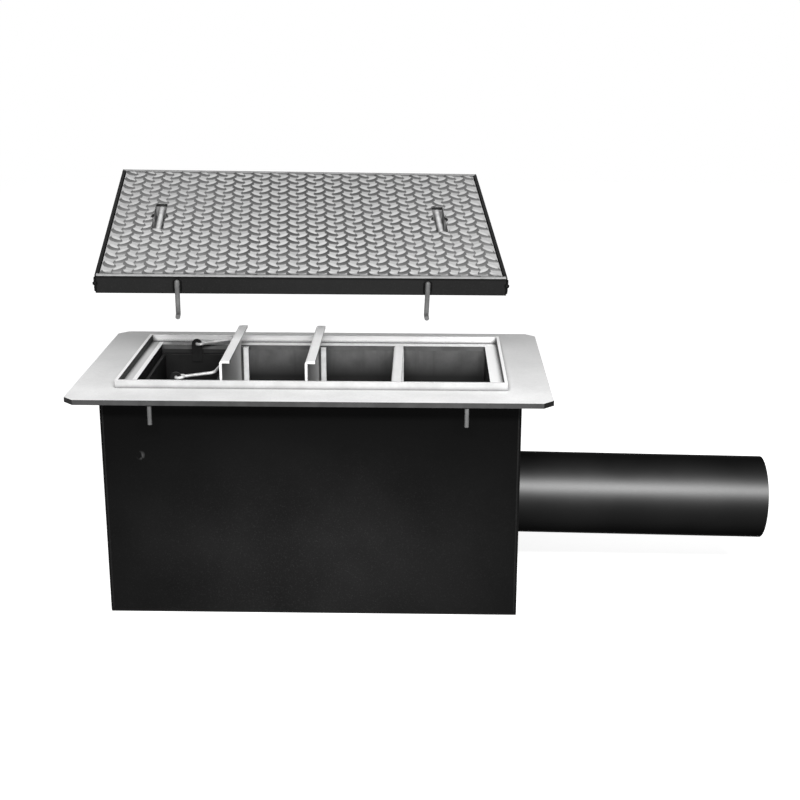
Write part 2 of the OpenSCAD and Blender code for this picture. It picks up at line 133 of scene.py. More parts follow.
class InterceptorFinishes(bpy.types.PropertyGroup):
    """Colours of the finishes."""
    black: grey_prop("Black paint", "Colour of the tank's paint", 0.0085)
    pipe: grey_prop("Pipe paint", "Colour of the outlet pipe's paint", 0.006)
    frame: grey_prop("Frame paint", "Colour of the cover frame's paint", 0.0065)
    zinc: grey_prop("Zinc", "Colour of the zinc on flat faces", 0.78)
    # The zinc plate's upright faces take this darker colour as painted shade.
    edge: grey_prop("Zinc edge", "Colour of the zinc on the plate's edge", 0.046)
    inside: grey_prop("Inside", "Colour of the tank's inside", 0.13)
    bucket: grey_prop("Bucket", "Colour of the sludge bucket", 0.006)
    pocket: grey_prop("Pocket", "Colour of the pockets under the slots", 0.20)
    tread: grey_prop("Tread", "Colour of the tread plate", 0.40)
    # This grime colour also serves as painted shadow round the lugs.
    grime_and_shade: grey_prop("Grime", "Colour of the dirt round the lugs", 0.024)
    rod: grey_prop("Rod", "Colour of the bare rods", 0.62)


class InterceptorStage(bpy.types.PropertyGroup):
    """Sizes and levels of the camera, the floor and the lamps."""
    floor: length_prop("Floor", "Half the width of the floor", 6.0)
    key: bpy.props.FloatProperty(name="Key lamp", description="Power of the front lamp",
                                 default=150.0, min=0.0, unit="POWER")
    shine: bpy.props.FloatProperty(name="Shine lamp",
                                   description="Power of the lamp that only gloss shows",
                                   default=1700.0, min=0.0, unit="POWER")
    top: bpy.props.FloatProperty(name="Top lamp", description="Power of the lamp overhead",
                                 default=10.0, min=0.0, unit="POWER")
    sky: bpy.props.FloatProperty(name="Sky", description="Level of the light from all round",
                                 default=0.10, min=0.0, max=1.0, subtype="FACTOR")
    lens: bpy.props.FloatProperty(name="Lens", description="Focal length of the camera",
                                  default=63.18, min=10.0, unit="CAMERA")


# Surfaces

def corners(node):
    """The separate vertices of a frame node, in metres."""
    mesh = nodes[node].data
    flat = np.empty(len(mesh.vertices) * 3)
    mesh.vertices.foreach_get("co", flat)
    return np.unique(np.round(flat.reshape(-1, 3), 6), axis=0)


def cover_axes():
    """The cover's own axes: the middle of its frame's top edge, then unit vectors along
    it, across it and up out of it. They are the principal directions of the frame's
    corners, which lie evenly about its middle."""
    points = corners("cover_frame")
    middle = points.mean(axis=0)
    _, directions = np.linalg.eigh(np.cov((points - middle).T))
    along = directions[:, 2] * np.sign(directions[0, 2])
    up = directions[:, 0] * np.sign(directions[2, 0])
    across = np.cross(up, along)
    rise = ((points - middle) @ up).max()
    return middle + rise * up, along, across, up


def on_cover(points):
    """Points of the cover's own axes, put into the model's axes."""
    middle, along, across, up = cover_axes()
    return middle + np.asarray(points) @ np.array([along, across, up])


def cover_local(node):
    """The vertices of a node in the cover's own axes."""
    middle, along, across, up = cover_axes()
    return (corners(node) - middle) @ np.array([along, across, up]).T


def outlet_height(x):
    """The height of the outlet's middle line at a place along the tank. The line runs
    through the middles of both ends, which are those of the farthest vertices."""
    points, reach = corners("outlet_pipe"), 0.004
    left = points[points[:, 0] < points[:, 0].min() + reach].mean(axis=0)
    right = points[points[:, 0] > points[:, 0].max() - reach].mean(axis=0)
    fall = (right[2] - left[2]) / (right[0] - left[0])
    return left[2] + fall * (x - left[0])


def grid_quads(rows, columns, row_loop=False):
    """Quads of a grid of points whose columns close on themselves, and whose rows do too
    where row_loop is set. Point (i, j) has the number i * columns + j."""
    i = np.arange(rows if row_loop else rows - 1)[:, None]
    j = np.arange(columns)[None, :]
    a = i * columns + j
    b = i * columns + (j + 1) % columns
    c = (i + 1) % rows * columns + (j + 1) % columns
    d = (i + 1) % rows * columns + j
    return np.stack([a, b, c, d], axis=-1).reshape(-1, 4)


def add_piece(name, points, faces, slot, body="tank", marks=None):
    """Makes a mesh piece from arrays of points and faces, smooth all over, that moves with
    a body. The marks are named values, one a point, that its material reads."""
    mesh = bpy.data.meshes.new(name)
    mesh.from_pydata(points.tolist(), [], [list(f) for f in faces])
    mesh.polygons.foreach_set("use_smooth", np.ones(len(mesh.polygons), dtype=bool))
    for mark, values in (marks or {}).items():
        layer = mesh.attributes.new(mark, "FLOAT", "POINT")
        layer.data.foreach_set("value", np.asarray(values, dtype=np.float32))
    mesh.update()
    piece = bpy.data.objects.new(name, mesh)
    bpy.context.scene.collection.objects.link(piece)
    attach(piece, body)
    return piece


def bead(path, radius, up, ripple, closed=False, seed=0):
    """A weld bead along a path. The section is a circle carried along the path; its radius
    swells and narrows a little with each ripple, and the ripples curve back towards the
    bead's edges, as a pool of metal sets. An open bead ends in round tips."""
    path = np.asarray(path, dtype=float)
    rows, sides = len(path), 12
    swell, curve, tip = 0.09, 1.1, 1.2 * radius
    ahead = np.roll(path, -1, axis=0) - np.roll(path, 1, axis=0)
    if not closed:
        ahead[0], ahead[-1] = path[1] - path[0], path[-1] - path[-2]
    ahead /= np.linalg.norm(ahead, axis=1)[:, None]
    up = np.broadcast_to(np.asarray(up, dtype=float), path.shape)
    side = np.cross(ahead, up)
    side /= np.linalg.norm(side, axis=1)[:, None]
    over = np.cross(side, ahead)
    steps = np.linalg.norm(np.diff(path, axis=0), axis=1)
    run = np.concatenate([[0.0], np.cumsum(steps)])
    length = run[-1] + (np.linalg.norm(path[0] - path[-1]) if closed else 0.0)
    count = max(1, round(length / ripple))
    turn = np.linspace(0, 2 * math.pi, sides, endpoint=False)
    phase = 2 * math.pi * count * run[:, None] / length + curve * np.cos(turn)[None, :]
    knots = 24
    wander = np.random.default_rng(seed).normal(0.0, 0.05, knots)
    drift = np.interp(run / length * (knots - 1), np.arange(knots), wander)
    if closed:
        drift *= np.sin(math.pi * run / length)
    size = radius * (1 + swell * np.sin(phase) + drift[:, None])
    if not closed:
        reach = np.minimum(run, length - run) / tip
        size = size * np.sqrt(np.clip(1 - (1 - np.clip(reach, 0, 1)) ** 2, 0.0004, 1))[:, None]
    points = (path[:, None, :] + size[..., None]
              * (np.cos(turn)[None, :, None] * over[:, None, :]
                 + np.sin(turn)[None, :, None] * side[:, None, :])).reshape(-1, 3)
    faces = grid_quads(rows, sides, closed)
    caps = []
    if not closed:
        caps = [list(range(sides))[::-1], list(range((rows - 1) * sides, rows * sides))]
    return points, [list(f) for f in faces] + caps


def line(p, q, step):
    """Points along a straight line, about step apart."""
    p, q = np.asarray(p, dtype=float), np.asarray(q, dtype=float)
    count = max(6, int(np.linalg.norm(q - p) / step))
    return p + np.linspace(0, 1, count)[:, None] * (q - p)


def ring(middle, u, v, radius, step):
    """Points round a circle in the plane of two unit vectors, about step apart."""
    count = max(24, int(2 * math.pi * radius / step))
    t = np.linspace(0, 2 * math.pi, count, endpoint=False)[:, None]
    return np.asarray(middle) + radius * (np.cos(t) * np.asarray(u) + np.sin(t) * np.asarray(v))


def join(parts):
    """Several surfaces as one: their points one after another, their faces renumbered."""
    points, faces, start = [], [], 0
    for p, f in parts:
        points.append(p)
        faces += [[n + start for n in face] for face in f]
        start += len(p)
    return np.concatenate(points), faces


# Finishes

class Shader:
    """A node tree for one finish, built from short calls."""

    def __init__(self, name):
        self.material = bpy.data.materials.new(name)
        self.material.use_nodes = True
        self.tree = self.material.node_tree
        self.tree.nodes.clear()
        self.output = self.add("ShaderNodeOutputMaterial")
        self.surface = self.add("ShaderNodeBsdfPrincipled")
        self.link(self.surface.outputs[0], self.output.inputs[0])
        self.place = self.add("ShaderNodeTexCoord").outputs["Object"]

    def add(self, kind, **settings):
        """A node with its settings."""
        node = self.tree.nodes.new(kind)
        for key, value in settings.items():
            setattr(node, key, value)
        return node

    def link(self, out, into):
        """Joins an output to an input."""
        self.tree.links.new(out, into)

    def noise(self, scale, detail=4.0, rough=0.55, stretch=None):
        """Noise on the object's own coordinates, from 0 to 1."""
        node = self.add("ShaderNodeTexNoise")
        node.inputs["Scale"].default_value = scale
        node.inputs["Detail"].default_value = detail
        node.inputs["Roughness"].default_value = rough
        source = self.place
        if stretch:
            mapping = self.add("ShaderNodeMapping")
            mapping.inputs["Scale"].default_value = stretch
            self.link(source, mapping.inputs["Vector"])
            source = mapping.outputs[0]
        self.link(source, node.inputs["Vector"])
        return node.outputs["Fac"]

    def cells(self, scale):
        """The random grey of the cells of a Voronoi pattern, as spangle has."""
        node = self.add("ShaderNodeTexVoronoi")
        node.inputs["Scale"].default_value = scale
        self.link(self.place, node.inputs["Vector"])
        grey = self.add("ShaderNodeSeparateColor")
        self.link(node.outputs["Color"], grey.inputs[0])
        return grey.outputs[0]

    def span(self, value, low, high, to_low=0.0, to_high=1.0):
        """A value moved from one range to another, and kept inside it."""
        node = self.add("ShaderNodeMapRange")
        for number, amount in zip((1, 2, 3, 4), (low, high, to_low, to_high)):
            node.inputs[number].default_value = amount
        self.link(value, node.inputs[0])
        return node.outputs[0]

    def math(self, kind, a, b):
        """Two values, or a value and a number, put together."""
        node = self.add("ShaderNodeMath", operation=kind)
        for number, value in enumerate((a, b)):
            if isinstance(value, (int, float)):
                node.inputs[number].default_value = value
            else:
                self.link(value, node.inputs[number])
        return node.outputs[0]

    def mix(self, amount, a, b):
        """Two colours mixed by a value. A colour is a socket or three numbers."""
        node = self.add("ShaderNodeMix", data_type="RGBA")
        self.link(amount, node.inputs["Factor"])
        for socket, value in zip((node.inputs[6], node.inputs[7]), (a, b)):
            if isinstance(value, bpy.types.NodeSocket):
                self.link(value, socket)
            else:
                socket.default_value = (*value, 1.0)
        return node.outputs[2]

    def facing(self, axis):
        """How far the true face looks along an axis, from -1 to 1."""
        split = self.add("ShaderNodeSeparateXYZ")
        self.link(self.add("ShaderNodeNewGeometry").outputs["True Normal"], split.inputs[0])
        return split.outputs[axis]

    def along(self, axis):
        """The object's own coordinate along an axis."""
        split = self.add("ShaderNodeSeparateXYZ")
        self.link(self.place, split.inputs[0])
        return split.outputs[axis]

    def out_along(self, point, direction):
        """How far the surface lies from a point, to either side, along a direction."""
        gap = self.add("ShaderNodeVectorMath", operation="SUBTRACT")
        self.link(self.place, gap.inputs[0])
        gap.inputs[1].default_value = point
        dot = self.add("ShaderNodeVectorMath", operation="DOT_PRODUCT")
        self.link(gap.outputs[0], dot.inputs[0])
        dot.inputs[1].default_value = direction
        return self.math("ABSOLUTE", dot.outputs["Value"], 0.0)

    def near(self, point, inner, outer):
        """1 within the inner distance of a point, falling to 0 at the outer one."""
        gap = self.add("ShaderNodeVectorMath", operation="DISTANCE")
        self.link(self.place, gap.inputs[0])
        gap.inputs[1].default_value = point
        return self.span(gap.outputs["Value"], inner, outer, 1.0, 0.0)

    def corner(self, reach, low, high):
        """1 in the foot of a corner between faces, falling to 0 a reach away from it."""
        node = self.add("ShaderNodeAmbientOcclusion", samples=8)
        node.inputs["Distance"].default_value = reach
        return self.span(node.outputs["AO"], low, high, 1.0, 0.0)

    def worn(self, radius):
        """The edges of the solid: where the rounded normal leaves the true one."""
        rounded = self.add("ShaderNodeBevel", samples=6)
        rounded.inputs["Radius"].default_value = radius
        dot = self.add("ShaderNodeVectorMath", operation="DOT_PRODUCT")
        self.link(rounded.outputs[0], dot.inputs[0])
        self.link(self.add("ShaderNodeNewGeometry").outputs["True Normal"], dot.inputs[1])
        return self.span(self.math("SUBTRACT", 1.0, dot.outputs["Value"]), 0.02, 0.25)

    def relief(self, height, distance, strength, radius=0.0):
        """Bump from a height, on a normal whose edges are rounded to a radius."""
        node = self.add("ShaderNodeBump")
        node.inputs["Strength"].default_value = strength
        node.inputs["Distance"].default_value = distance
        self.link(height, node.inputs["Height"])
        if radius:
            rounded = self.add("ShaderNodeBevel", samples=6)
            rounded.inputs["Radius"].default_value = radius
            self.link(rounded.outputs[0], node.inputs["Normal"])
        self.link(node.outputs[0], self.surface.inputs["Normal"])

    def set(self, **values):
        """The shader's own sockets: a number is set, a socket is linked."""
        for key, value in values.items():
            socket = self.surface.inputs[key.replace("_", " ").capitalize()
                                         if key != "base" else "Base Color"]
            if isinstance(value, bpy.types.NodeSocket):
                self.link(value, socket)
            else:
                socket.default_value = value
        return self.material


def scaled(colour, factor):
    """A colour made lighter or darker."""
    return tuple(min(1.0, channel * factor) for channel in colour)


def paint(name, colour, rough, gloss, rub=0.10, worn_top=None, scuff=None, painted_shade_heights=None):
    """Black bitumen paint: a close speckle, slow clouds in its depth, a rubbed grey along
    the edges, and the fine skin of brushed paint in its bump and gloss. Where worn_top is
    a colour, feet have worn the paint off the top of the cover's frame and its brim, but
    not off the short bars, and a painted shade darkens the paint just below the brim.
    Where scuff is a point, small scratches lie round it. Where clean is a pair of heights,
    a painted shade darkens the paint more and more from the lower to the upper one, and
    towards the ends of the tank."""
    s = Shader(name)
    speck = s.noise(420.0, 2.0, 0.7)
    cloud = s.noise(5.0, 3.0, 0.5)
    base = s.mix(s.span(cloud, 0.35, 0.65), scaled(colour, 0.75), scaled(colour, 1.3))
    base = s.mix(s.span(speck, 0.56, 0.72, 0.0, 0.4), base, scaled(colour, 4.0))
    # Painted shade: the paint darkens upwards towards the top plate and towards the ends of the
    # tank.
    if painted_shade_heights:
        base = s.mix(s.span(s.along("Z"), *painted_shade_heights), base, scaled(colour, 0.15))
        ends = s.span(s.math("ABSOLUTE", s.along("X"), 0.0), 0.10, 0.40, 0.0, 0.6)
        base = s.mix(ends, base, scaled(colour, 0.1))
    edge = s.math("MULTIPLY", s.worn(0.0012), s.span(s.noise(60.0), 0.42, 0.62))
    base = s.mix(s.math("MULTIPLY", edge, rub), base, (0.30, 0.30, 0.30))
    if worn_top:
        middle, along, across, up = cover_axes()
        half_l, half_w = cover_local("cover_frame")[:, :2].max(axis=0)
        out, back = s.out_along(middle, along), s.out_along(middle, across)
        bars = s.math("MAXIMUM", s.span(out, half_l - BAR - FADE, half_l - BAR, 1.0, 0.0),
                      s.span(back, half_w - BAR - FADE, half_w - BAR))
        end = half_l - BAR / 2
        ends = s.math("MULTIPLY", bars, s.span(out, end, end + FADE, 1.0, 0.0))
        depth = s.out_along(middle, up)
        brim = s.span(depth, 0.0014, 0.0022, 1.0, 0.0)
        # Painted shade on the frame's band just below its brim.
        base = s.mix(s.span(depth, 0.0050, 0.0070, 0.8, 0.0), base, scaled(colour, 0.1))
        top = s.math("MULTIPLY", s.math("MAXIMUM", s.span(s.facing("Z"), 0.6, 0.8), brim), ends)
        base = s.mix(s.math("MULTIPLY", top, s.span(s.noise(35.0), 0.3, 0.5, 0.75, 1.0)),
                     base, worn_top)
    if scuff:
        marks = s.noise(110.0, 1.0, 0.4, (1.0, 1.0, 0.6))
        base = s.mix(s.math("MULTIPLY", s.near(scuff, 0.003, 0.010), s.span(marks, 0.52, 0.60)),
                     base, (0.045, 0.045, 0.045))
    skin = s.noise(140.0, 3.0, 0.55, (1.0, 1.0, 0.45))
    s.relief(skin, 0.0004, 0.25, 0.0012)
    s.surface.inputs["Specular IOR Level"].default_value = gloss
    return s.set(base=base, roughness=s.span(cloud, 0.3, 0.7, rough - 0.04, rough + 0.05))


def enamel(name, colour, rough, edge_tint):
    """Smooth black stove enamel, whose gloss is all it shows: the colour is that of its
    mirror image, which the edge tint keeps dark where the face turns away. A slow cloud
    and a fine dust change its gloss."""
    s = Shader(name)
    cloud = s.noise(6.0, 3.0, 0.5)
    dust = s.noise(500.0, 2.0, 0.7)
    base = s.mix(s.span(cloud, 0.35, 0.65), scaled(colour, 0.9), scaled(colour, 1.1))
    base = s.mix(s.span(dust, 0.6, 0.8, 0.0, 0.5), base, scaled(colour, 1.8))
    s.relief(s.noise(120.0, 3.0, 0.5), 0.00015, 0.12, 0.0010)
    s.surface.inputs["Metallic"].default_value = 1.0
    s.surface.inputs["Specular Tint"].default_value = (edge_tint, edge_tint, edge_tint, 1.0)
    return s.set(base=base, roughness=s.span(cloud, 0.3, 0.7, rough - 0.02, rough + 0.02))


def zinc(name, colour, edge_colour, rough, mottle, side_shade, streak, inner=1.0, rear=1.0,
         far=1.0, lit=None, crest=None):
    """Galvanised steel: a cloudy coat with a fine spangle, paler on flat faces that look
    up and darker on upright ones, a painted shade, pale along the edges of the flat ones,
    with painted shade and dirt in the corners, more to the rear. Upright faces take
    edge_colour, mottled by streak; those that look along the tank take the factor side_shade
    as well, a painted shade, and those of them that look at its middle the factor inner
    alone. To the rear the upright faces take the factor far, a painted light, and towards
    the two rear corners the flat ones the factor rear, a painted shade. Where lit is given,
    the flat faces within its two half sizes take its factor, a painted light, but are
    darker at the back to the left of its last value, and duller at the left end, up to
    the rim of the opening, which a painted highlight makes bright. Where crest is given,
    the flat faces further out to the two ends than it take a painted light. Both kinds
    shine less than bare zinc."""
    s = Shader(name)
    cloud = s.noise(9.0, 5.0, 0.62)
    fleck = s.cells(260.0)
    fine = s.noise(520.0, 2.0, 0.6)
    x, y = s.math("ABSOLUTE", s.along("X"), 0.0), s.along("Y")
    grey = s.mix(s.span(cloud, 0.30, 0.72), scaled(colour, 1 - mottle), scaled(colour, 1 + mottle))
    grey = s.mix(s.math("MULTIPLY", fleck, mottle), grey, scaled(colour, 0.72))
    grey = s.mix(s.span(fine, 0.52, 0.75, 0.0, mottle * 2), grey, scaled(colour, 0.5))
    # Painted shade towards the two rear corners of the flat faces.
    if rear < 1.0:
        back = s.math("MULTIPLY", s.span(y, -0.22, 0.22), s.span(x, 0.15, 0.36))
        grey = s.mix(back, grey, scaled(colour, rear))
    if lit:
        half_l, half_w, paler, baffle = lit
        within = s.math("MULTIPLY", s.span(x, half_l - 0.001, half_l, 1.0, 0.0),
                        s.span(s.math("ABSOLUTE", y, 0.0), half_w - 0.001, half_w, 1.0, 0.0))
        # Painted light: the ledge's flat faces take the paler factor.
        grey = s.mix(within, grey, scaled(colour, paler))
        # Darker at the back, left of the first baffle.
        soiled = s.math("MULTIPLY", s.span(s.along("X"), baffle, baffle + 0.02, 1.0, 0.0),
                        s.span(y, 0.10, 0.14))
        grey = s.mix(s.math("MULTIPLY", within, soiled), grey, scaled(colour, 0.28))
        duller = s.span(s.along("X"), 0.03 - half_l, 0.045 - half_l, 0.8, 0.0)
        grey = s.mix(s.math("MULTIPLY", within, duller), grey, scaled(colour, 0.75))
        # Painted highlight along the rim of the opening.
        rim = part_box("opening_collar")[0].x
        bright = s.math("MULTIPLY", s.span(s.along("X"), rim - 0.0045, rim - 0.0035),
                        s.span(s.along("X"), rim + 0.004, rim + 0.005, 1.0, 0.0))
        grey = s.mix(s.math("MULTIPLY", within, bright), grey, scaled(colour, 1.3))
    # Painted light on the flat tops beyond crest, at the two ends.
    if crest:
        grey = s.mix(s.span(x, crest - 0.001, crest), grey, scaled(colour, 1.4))
    # Painted shade on upright faces that look along the tank, and painted light on upright faces to
    # the rear.
    ends = s.span(s.math("ABSOLUTE", s.facing("X"), 0.0), 0.2, 0.6)
    blotch = s.span(s.noise(30.0), 0.4, 0.6)
    sides = []
    for factor in (1.0, far):
        side = s.mix(blotch, scaled(edge_colour, factor * (1 - streak)),
                     scaled(edge_colour, factor * (1 + streak)))
        sides.append(s.mix(ends, side, scaled(edge_colour, factor * side_shade)))
    side = s.mix(s.span(y, -0.15, 0.15), *sides)
    if inner < 1.0:
        inward = s.math("MULTIPLY", s.facing("X"), s.along("X"))
        side = s.mix(s.span(inward, -0.05, 0.0, 1.0, 0.0), side, scaled(edge_colour, inner))
    # Painted shade: upright faces take the darker side colour, flat ones the paler grey.
    grey = s.mix(s.span(s.facing("Z"), 0.25, 0.75), side, grey)
    pale = s.math("MULTIPLY", s.worn(0.0026), s.span(s.facing("Z"), 0.2, 0.6, 0.0, 0.8))
    grey = s.mix(pale, grey, scaled(colour, 1.35))
    # Painted shade and dirt in the corners, stronger to the rear.
    dirt_and_shade = s.math("MULTIPLY", s.corner(0.012, 0.50, 0.82), s.span(y, -0.1, 0.1, 0.63, 0.9))
    grey = s.mix(dirt_and_shade, grey, scaled(colour, 0.05))
    s.relief(s.math("ADD", fleck, fine), 0.00008, 0.3, 0.0010)
    s.surface.inputs["Metallic"].default_value = 0.2
    if crest or lit:
        s.surface.inputs["Specular IOR Level"].default_value = 0.12
    return s.set(base=grey, roughness=s.span(fleck, 0.0, 1.0, rough - 0.07, rough + 0.07))


def dull(name, colour, rough, level=None, soil=None):
    """Bare or thinly painted steel inside the tank: a blotchy coat with runs that go
    straight down, and a soft grain. Where level is a pair of heights, the coat darkens
    from the upper to the lower one. Where soil is given, what lies left of it is darker,
    and a painted shade darkens most of all the faces there that look to the right, and
    makes the faces across the right end as dark."""
    s = Shader(name)
    blotch = s.noise(14.0, 5.0, 0.6)
    runs = s.noise(60.0, 2.0, 0.5, (1.0, 1.0, 0.06))
    grey = s.mix(s.span(blotch, 0.35, 0.68), scaled(colour, 0.75), scaled(colour, 1.3))
    grey = s.mix(s.span(runs, 0.5, 0.75, 0.0, 0.5), grey, scaled(colour, 0.5))
    if level:
        grey = s.mix(s.span(s.along("Z"), level[1], level[0], 1.0, 0.0), grey, scaled(colour, 0.07))
    if soil:
        # Darker left of the given place, and a painted shade darkest on the faces there that look
        # to the right.
        sludge = s.span(s.along("X"), soil, soil + 0.02, 1.0, 0.0)
        dark = s.mix(s.span(s.facing("X"), 0.3, 0.7), scaled(colour, 0.15), scaled(colour, 0.02))
        grey = s.mix(sludge, grey, dark)
        # Painted shade on the faces across the right end.
        ends = s.math("MULTIPLY", s.span(s.math("ABSOLUTE", s.facing("X"), 0.0), 0.3, 0.7),
                      s.span(s.along("X"), 0.31, 0.32))
        grey = s.mix(ends, grey, scaled(colour, 0.03))
    s.relief(s.noise(300.0, 3.0), 0.0002, 0.3, 0.0010)
    s.surface.inputs["Specular IOR Level"].default_value = 0.2
    return s.set(base=grey, roughness=s.span(blotch, 0.3, 0.7, rough - 0.08, rough + 0.08))


def tread(name, colour, grime_and_shade, marked):
    """The tread plate's steel: worn pale on the flats and on the lugs' tops, with dirt and a
    painted shadow on the lugs' flanks and at their feet, where the mark on the points says
    so, more of it in the middle of the plate, and a darker colour along its front and back
    edges. The edges cut through the plate are nearly black."""
    s = Shader(name)
    cloud = s.noise(7.0, 4.0, 0.6)
    fine = s.noise(380.0, 3.0, 0.6)
    grey = s.mix(s.span(cloud, 0.3, 0.7), scaled(colour, 0.88), scaled(colour, 1.12))
    grey = s.mix(s.span(fine, 0.5, 0.78, 0.0, 0.35), grey, scaled(colour, 0.5))
    middle, _, across, _ = cover_axes()
    half = cover_local("tread_plate")[:, 1].max()
    rim = s.span(s.out_along(middle, across), half - 0.008, half - 0.003, 0.0, 0.7)
    grey = s.mix(rim, grey, tuple(grime_and_shade))
    # Dirt and painted shadow on the lugs' flanks and at their feet, where the mark says so.
    if marked:
        mark = s.add("ShaderNodeAttribute", attribute_name="dirt_and_shade")
        trodden = s.span(s.math("ABSOLUTE", s.along("X"), 0.0), 0.08, 0.30, 1.0, 0.9)
        mark_amount = s.math("MULTIPLY", trodden, s.span(cloud, 0.2, 0.6, 0.85, 1.0))
        grey = s.mix(s.math("MULTIPLY", mark.outputs["Fac"], mark_amount), grey, tuple(grime_and_shade))
    else:
        grey = s.mix(s.span(s.facing("Z"), 0.3, 0.7), scaled(grime_and_shade, 0.35), grey)
    s.relief(fine, 0.0001, 0.3, 0.0 if marked else 0.0008)
    s.surface.inputs["Metallic"].default_value = 0.2
    return s.set(base=grey, roughness=s.span(cloud, 0.3, 0.7, 0.42, 0.54))


def rod(name, colour, rough, metallic):
    """Drawn steel rod: fine streaks, a few dull patches and small dark pits."""
    s = Shader(name)
    patch = s.noise(45.0, 4.0, 0.6)
    pits = s.noise(700.0, 2.0, 0.6)
    grey = s.mix(s.span(patch, 0.38, 0.66), scaled(colour, 0.72), scaled(colour, 1.2))
    grey = s.mix(s.span(pits, 0.6, 0.8, 0.0, 0.6), grey, scaled(colour, 0.25))
    s.relief(pits, 0.0001, 0.3)
    s.surface.inputs["Metallic"].default_value = metallic
    return s.set(base=grey, roughness=s.span(patch, 0.3, 0.7, rough - 0.06, rough + 0.08))


# Operators

class InterceptorOperator(bpy.types.Operator):
    """What all steps share."""
    bl_options = {"REGISTER", "UNDO"}


class OBJECT_OT_interceptor_finishes(InterceptorOperator):
    """Give every frame node its finish"""
    bl_idname = "object.interceptor_finishes"
    bl_label = "Finishes"

    def execute(self, context):
        f = context.scene.interceptor_finishes
        finishes = {
            "black paint": paint("black paint", f.black, 0.55, 0.03, rub=0.03, scuff=SCUFF,
                                 painted_shade_heights=(0.16, 0.42)),
            "pipe paint": enamel("pipe paint", f.pipe, 0.48, 0.3),
            "frame paint": paint("frame paint", f.frame, 0.55, 0.08, worn_top=scaled(f.zinc, 0.37)),
            # The zinc factors below paint light and shade: rear, far, side_shade, lit and crest.
            "zinc plate": zinc("zinc plate", scaled(f.zinc, 1.04), f.edge, 0.5, 0.10,
                               side_shade=0.02, streak=0.12, rear=0.68, far=2.6,
                               lit=self.ledge()),
            "ring zinc": zinc("ring zinc", scaled(f.zinc, 0.89), scaled(f.zinc, 0.63), 0.5, 0.05,
                              side_shade=1.0, streak=0.06, inner=0.01, far=2.1,
                              crest=self.ledge()[0]),
            "baffle zinc": zinc("baffle zinc", scaled(f.zinc, 1.2), f.zinc, 0.5, 0.06,
                                side_shade=0.16, streak=0.08, far=5.5),
            "guide zinc": zinc("guide zinc", scaled(f.zinc, 1.2), scaled(f.zinc, 1.15), 0.5,
                               0.05, side_shade=0.15, streak=0.1),
            "inside paint": dull("inside paint", f.inside, 0.6, (0.462, 0.392),
                                 soil=self.ledge()[3]),
            "bucket steel": dull("bucket steel", f.bucket, 0.55, (0.44, 0.36)),
            "pocket steel": dull("pocket steel", f.pocket, 0.6),
            "tread steel": tread("tread steel", f.tread, f.grime_and_shade, False),
            "bright rod": rod("bright rod", f.rod, 0.38, 0.3),
            "dull rod": rod("dull rod", scaled(f.rod, 0.14), 0.5, 0.1),
        }
        for finish, names in SLOTS.items():
            for name in names:
                mesh = nodes[name].data
                mesh.materials.clear()
                mesh.materials.append(finishes[finish])
        return {"FINISHED"}

    def ledge(self):
        """The half sizes of the ledge that the ring stands round, the factor of painted light by
        which it is paler than the plate outside it, and the first baffle's place, left of which
        the ledge is darker at the back."""
        far_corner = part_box("cover_ring")[1]
        return far_corner.x - BAR, far_corner.y - BAR, 1.3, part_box("first_baffle")[0].x


